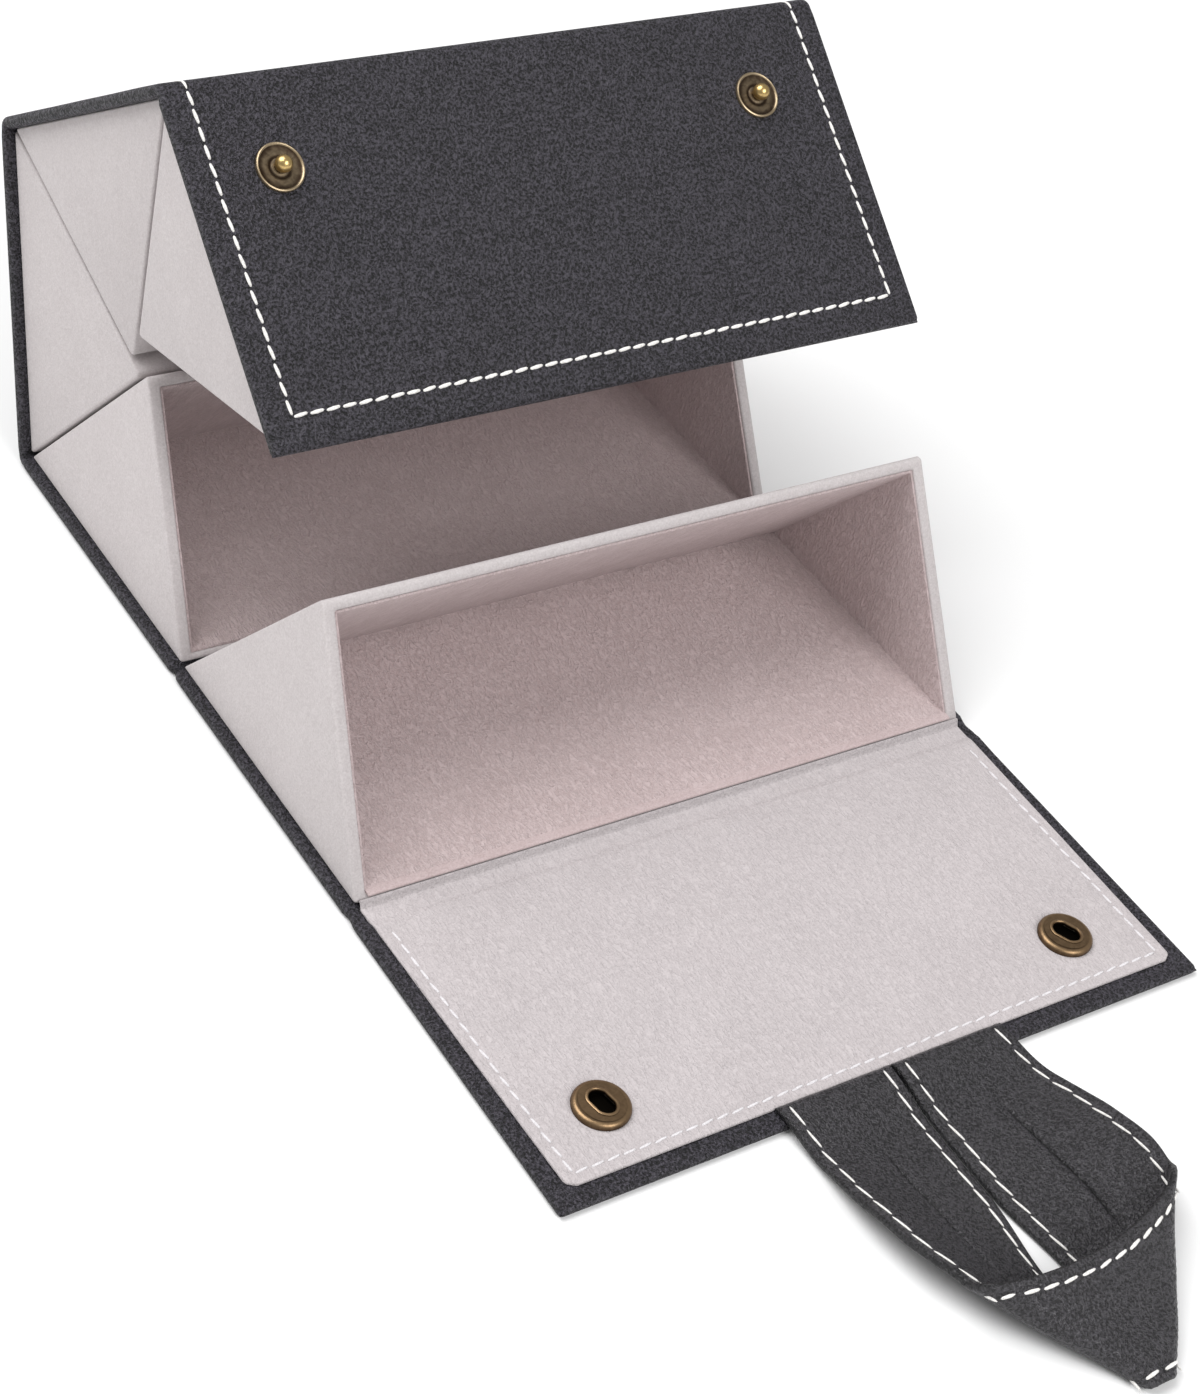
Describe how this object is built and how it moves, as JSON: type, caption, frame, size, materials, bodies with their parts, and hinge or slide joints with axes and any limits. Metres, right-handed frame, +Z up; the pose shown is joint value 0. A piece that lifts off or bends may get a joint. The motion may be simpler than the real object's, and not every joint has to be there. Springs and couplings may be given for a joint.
{
  "type": "roll-up jewelry box",
  "caption": "Roll-up travel jewelry box: lined three-sided compartments on a folding leather cover with a snap flap and a loop handle.",
  "frame": {"origin": "centre of the underside of compartment A, the compartment next to the flap, which lies flat on the table", "axes": "+X along the width of every panel, -Y towards the flap and handle, +Z up"},
  "size_m": [0.175, 0.3636, 0.1322],
  "materials": {
    "cover_leather": "satin pebbled",
    "strap_leather": "satin pebbled",
    "box_lining": "matt microsuede",
    "flap_lining": "matt microsuede",
    "stiffener_board": "matt",
    "aged_brass": "aged, slightly glossy",
    "spring_wire": "glossy"
  },
  "bodies": {
    "compartment_a": {"cover_a": "cover_leather", "board_a": "stiffener_board", "floor_a": "box_lining", "back_wall_a": "box_lining", "left_wall_a": "box_lining", "right_wall_a": "box_lining", "fold_strip_flap": "cover_leather", "fold_lining_flap": "flap_lining", "fold_strip_ab": "cover_leather"},
    "compartment_b": {"cover_b": "cover_leather", "board_b": "stiffener_board", "floor_b": "box_lining", "back_wall_b": "box_lining", "left_wall_b": "box_lining", "right_wall_b": "box_lining", "fold_strip_bc": "cover_leather"},
    "compartment_c": {"cover_c": "cover_leather", "board_c": "stiffener_board", "floor_c": "box_lining", "back_wall_c": "box_lining", "left_wall_c": "box_lining", "right_wall_c": "box_lining", "fold_strip_cd": "cover_leather"},
    "compartment_d": {"cover_d": "cover_leather", "board_d": "stiffener_board", "floor_d": "box_lining", "back_wall_d": "box_lining", "left_wall_d": "box_lining", "right_wall_d": "box_lining", "fold_strip_de": "cover_leather"},
    "compartment_e": {"cover_e": "cover_leather", "board_e": "stiffener_board", "floor_e": "box_lining", "back_wall_e": "box_lining", "left_wall_e": "box_lining", "right_wall_e": "box_lining", "stud_dishes": "aged_brass", "stud_posts": "aged_brass"},
    "flap": {"flap_cover": "cover_leather", "flap_board": "stiffener_board", "flap_lining": "flap_lining", "snap_caps": "aged_brass", "snap_sockets": "aged_brass", "snap_springs": "spring_wire", "strap_tabs": "strap_leather"},
    "handle": {"handle_strap": "strap_leather"}
  },
  "joints": [
    {"name": "flap_fold", "type": "hinge", "parent": "compartment_a", "child": "flap", "pos_m": [0, -0.0496, 0.003], "axis": [-1, 0, 0], "range_deg": [0, 72], "deforming": ["fold_strip_flap", "fold_lining_flap"]},
    {"name": "fold_a_b", "type": "hinge", "parent": "compartment_a", "child": "compartment_b", "pos_m": [0, 0.041, 0.003], "axis": [1, 0, 0], "range_deg": [0, 72], "deforming": ["fold_strip_ab"]},
    {"name": "fold_b_c", "type": "hinge", "parent": "compartment_b", "child": "compartment_c", "pos_m": [0, 0.123, 0.003], "axis": [1, 0, 0], "range_deg": [-72, 0], "deforming": ["fold_strip_bc"]},
    {"name": "fold_c_d", "type": "hinge", "parent": "compartment_c", "child": "compartment_d", "pos_m": [0, 0.14834, 0.08099], "axis": [1, 0, 0], "range_deg": [-72, 0], "deforming": ["fold_strip_cd"]},
    {"name": "fold_d_e", "type": "hinge", "parent": "compartment_d", "child": "compartment_e", "pos_m": [0, 0.082, 0.12918], "axis": [1, 0, 0], "range_deg": [-72, 0], "deforming": ["fold_strip_de"]},
    {"name": "handle_swing", "type": "hinge", "parent": "flap", "child": "handle", "pos_m": [0, -0.12945, 0.0047], "axis": [-1, 0, 0], "range_deg": [0, 50]}
  ]
}
